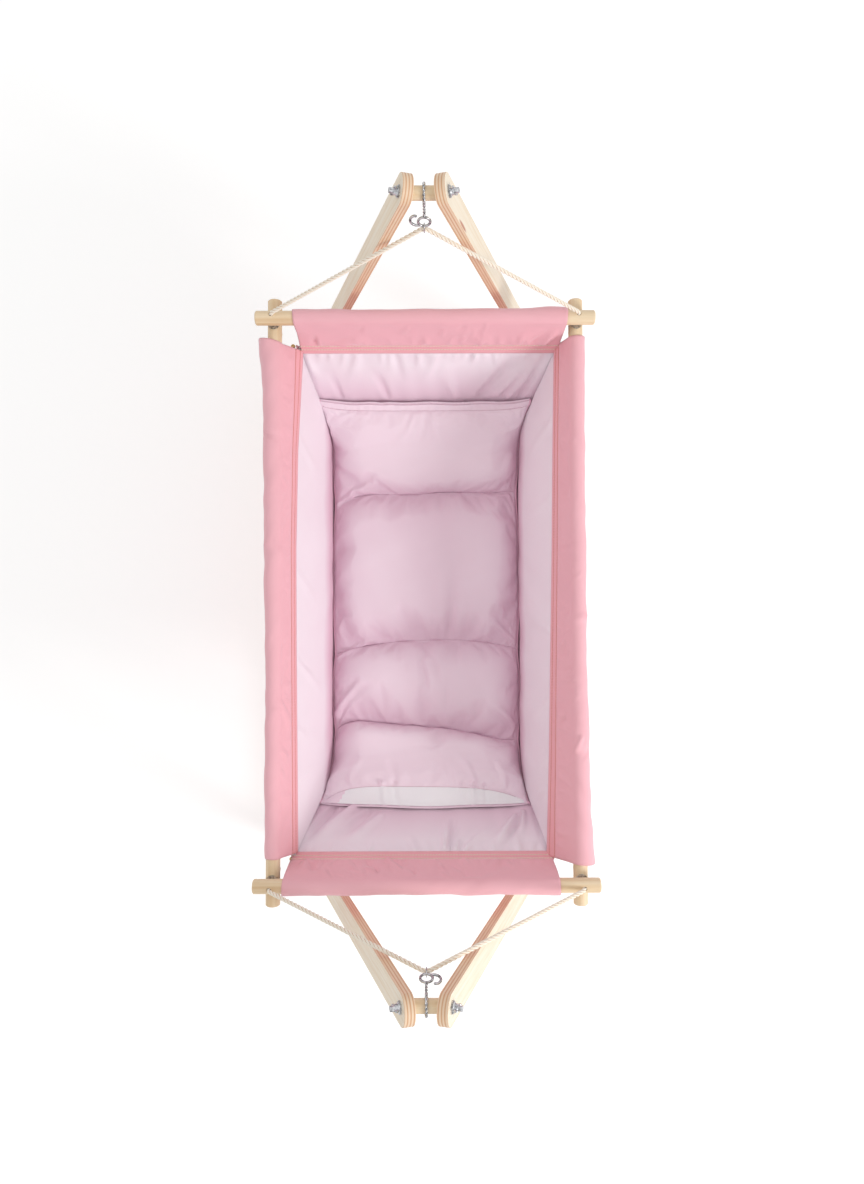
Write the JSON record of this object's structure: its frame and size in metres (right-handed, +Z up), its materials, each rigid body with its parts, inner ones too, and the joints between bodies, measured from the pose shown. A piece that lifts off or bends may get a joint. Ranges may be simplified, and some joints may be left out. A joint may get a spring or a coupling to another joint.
{
  "type": "swinging cradle on stand",
  "caption": "Swinging baby cradle: a padded cloth bag on four rods, hung by ropes and wire hangers between two splayed plywood A-frames",
  "frame": {"origin": "on the floor, under the middle of the stand", "axes": "+Z up, +Y along the cradle towards its head end, +X to the right when looking towards the head end"},
  "size_m": [0.6238, 1.177, 0.9261],
  "materials": {
    "plywood": "clear-varnished birch plywood with its layers showing on the edges",
    "turned_wood": "clear-varnished pine rod, straight grain along the rod",
    "zinc_steel": "zinc-plated steel, dull, a little worn",
    "wire": "bright steel wire, smooth",
    "rope": "three-strand cotton rope, right-hand lay",
    "pink_cotton": "plain woven pink cotton with a soft sheen, double-stitched",
    "lilac_satin": "pale lilac cotton satin with a soft sheen",
    "mattress_cloth": "pale lilac cotton satin over a soft filling, sewn into sections",
    "board": "plain thin hardboard",
    "brass": "polished brass, domed"
  },
  "bodies": {
    "stand": {"leg_head_left": "plywood", "leg_head_right": "plywood", "leg_foot_left": "plywood", "leg_foot_right": "plywood", "apex_rod_head": "turned_wood", "apex_rod_foot": "turned_wood", "spreader_head": "turned_wood", "spreader_foot": "turned_wood", "hanger_head": "wire", "hanger_foot": "wire", "side_rail_left": "plywood", "side_rail_right": "plywood", "apex_studs": "zinc_steel", "apex_washers": "zinc_steel", "rail_bolts": "zinc_steel", "rail_nuts": "zinc_steel", "spreader_screws": "zinc_steel"},
    "cradle": {"link_head": "wire", "rope_head": "rope", "end_rod_head": "turned_wood", "casing_head": "pink_cotton", "shell_head": "pink_cotton", "lining_head": "lilac_satin", "link_foot": "wire", "rope_foot": "rope", "end_rod_foot": "turned_wood", "casing_foot": "pink_cotton", "shell_foot": "pink_cotton", "lining_foot": "lilac_satin", "side_rod_left": "turned_wood", "casing_left": "pink_cotton", "shell_left": "pink_cotton", "lining_left": "lilac_satin", "side_rod_right": "turned_wood", "casing_right": "pink_cotton", "shell_right": "pink_cotton", "lining_right": "lilac_satin", "corner_washers": "zinc_steel", "corner_snaps": "brass", "shell_floor": "pink_cotton", "lining_floor": "lilac_satin", "base_board": "board", "mattress": "mattress_cloth"},
    "wing_nut_head_left": {"wing_nut_head_left": "zinc_steel"},
    "wing_nut_head_right": {"wing_nut_head_right": "zinc_steel"},
    "wing_nut_foot_left": {"wing_nut_foot_left": "zinc_steel"},
    "wing_nut_foot_right": {"wing_nut_foot_right": "zinc_steel"}
  },
  "joints": [
    {"name": "cradle_swing", "type": "hinge", "parent": "stand", "child": "cradle", "pos_m": [0, 0, 0.84022], "axis": [0, 1, 0], "range_deg": [-18, 18]},
    {"name": "wing_nut_head_left_turn", "type": "hinge", "parent": "stand", "child": "wing_nut_head_left", "pos_m": [-0.04123, 0.563, 0.90649], "axis": [-0.9563, 0, 0.2924], "continuous": true},
    {"name": "wing_nut_head_right_turn", "type": "hinge", "parent": "stand", "child": "wing_nut_head_right", "pos_m": [0.04123, 0.563, 0.90649], "axis": [0.9563, 0, 0.2924], "continuous": true},
    {"name": "wing_nut_foot_left_turn", "type": "hinge", "parent": "stand", "child": "wing_nut_foot_left", "pos_m": [-0.04123, -0.563, 0.90649], "axis": [-0.9563, 0, 0.2924], "continuous": true},
    {"name": "wing_nut_foot_right_turn", "type": "hinge", "parent": "stand", "child": "wing_nut_foot_right", "pos_m": [0.04123, -0.563, 0.90649], "axis": [0.9563, 0, 0.2924], "continuous": true}
  ]
}
